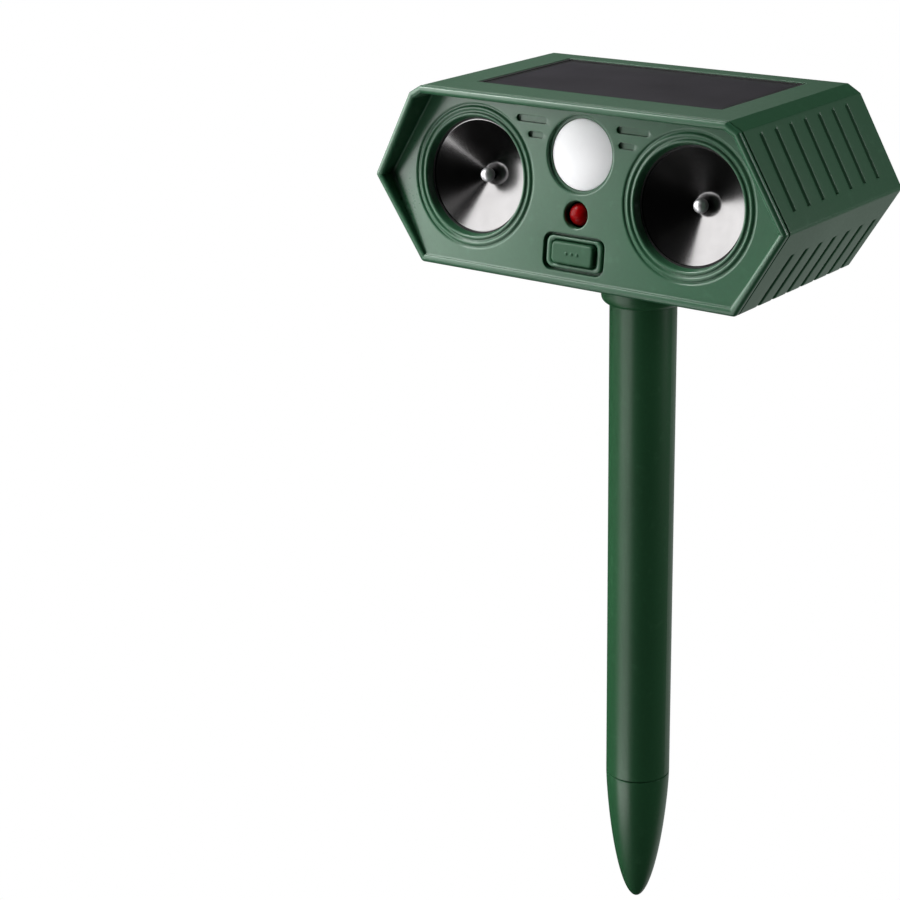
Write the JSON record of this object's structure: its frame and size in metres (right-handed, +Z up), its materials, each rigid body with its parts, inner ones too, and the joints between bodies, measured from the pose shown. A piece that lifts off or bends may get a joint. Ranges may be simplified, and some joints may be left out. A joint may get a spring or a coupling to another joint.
{
  "type": "ultrasonic pest repeller",
  "caption": "Solar-charged ultrasonic pest repeller: hexagonal green head with chromed sound horns, motion sensor, lamp and mode button, turning on a ground stake.",
  "frame": {"origin": "on the stake's axis, at the seam between the tube and its tip", "axes": "+Z up along the stake, the horns face -Y, +X is the right-hand side seen from the front"},
  "size_m": [0.15, 0.0758, 0.2915],
  "materials": {
    "stake_green": "satin moulded dark green plastic",
    "housing_green": "satin moulded dark green plastic",
    "cover_green": "satin moulded dark green plastic",
    "button_green": "satin moulded dark green plastic",
    "black_rubber": "matt black rubber",
    "spring_steel": "plain spring steel",
    "screw_steel": "zinc-plated steel",
    "solar_glass": "dark violet solar cells under clear resin",
    "horn_chrome": "vacuum-metallised reflector",
    "plug_chrome": "polished metal",
    "grey_plastic": "plain moulded plastic",
    "black_plastic": "plain moulded plastic",
    "lens_white": "milky polyethylene",
    "lamp_red": "tinted clear epoxy",
    "board_green": "solder-masked laminate",
    "cell_blue": "shrink sleeve",
    "lead_red": "insulated wire",
    "lead_black": "insulated wire"
  },
  "bodies": {
    "stake": {"stake_tube": "stake_green", "stake_tip": "stake_green"},
    "socket": {"stake_socket": "stake_green", "swivel_washer": "black_rubber", "socket_clip": "spring_steel"},
    "head": {"rear_housing": "housing_green", "front_cover": "cover_green", "housing_seal": "black_rubber", "cover_screws": "screw_steel", "solar_panel": "solar_glass", "solar_gasket": "black_rubber", "solar_leads": "lead_red", "left_horn": "horn_chrome", "right_horn": "horn_chrome", "left_horn_plug": "plug_chrome", "right_horn_plug": "plug_chrome", "left_horn_gasket": "black_rubber", "right_horn_gasket": "black_rubber", "left_horn_clamp": "grey_plastic", "right_horn_clamp": "grey_plastic", "horn_screws": "screw_steel", "left_transducer": "black_plastic", "right_transducer": "black_plastic", "left_horn_leads": "lead_red", "right_horn_leads": "lead_red", "sensor_lens": "lens_white", "lens_retainer": "grey_plastic", "motion_sensor": "screw_steel", "status_led": "lamp_red", "button_frame": "cover_green", "switch_body": "black_plastic", "main_board": "board_green", "board_screws": "screw_steel", "control_chip": "black_plastic", "driver_coils": "grey_plastic", "battery_cell": "cell_blue", "battery_cradle": "grey_plastic", "battery_clips": "spring_steel", "battery_leads": "lead_black", "charge_board": "board_green", "charge_port": "spring_steel"},
    "button": {"mode_button": "button_green", "switch_plunger": "grey_plastic"},
    "plug": {"port_plug": "black_rubber"}
  },
  "joints": [
    {"name": "head_lift", "type": "slide", "parent": "stake", "child": "socket", "axis": [0, 0, 1], "range_m": [0, 0.034]},
    {"name": "head_swivel", "type": "hinge", "parent": "socket", "child": "head", "pos_m": [0, 0, 0.183], "axis": [0, 0, 1], "continuous": true},
    {"name": "button_press", "type": "slide", "parent": "head", "child": "button", "axis": [0, 0.9936, -0.1132], "range_m": [0, 0.0008], "stiffness_N_per_m": 900, "springref_m": -0.0005},
    {"name": "plug_pull", "type": "slide", "parent": "head", "child": "plug", "axis": [0, 1, 0], "range_m": [0, 0.014]}
  ]
}
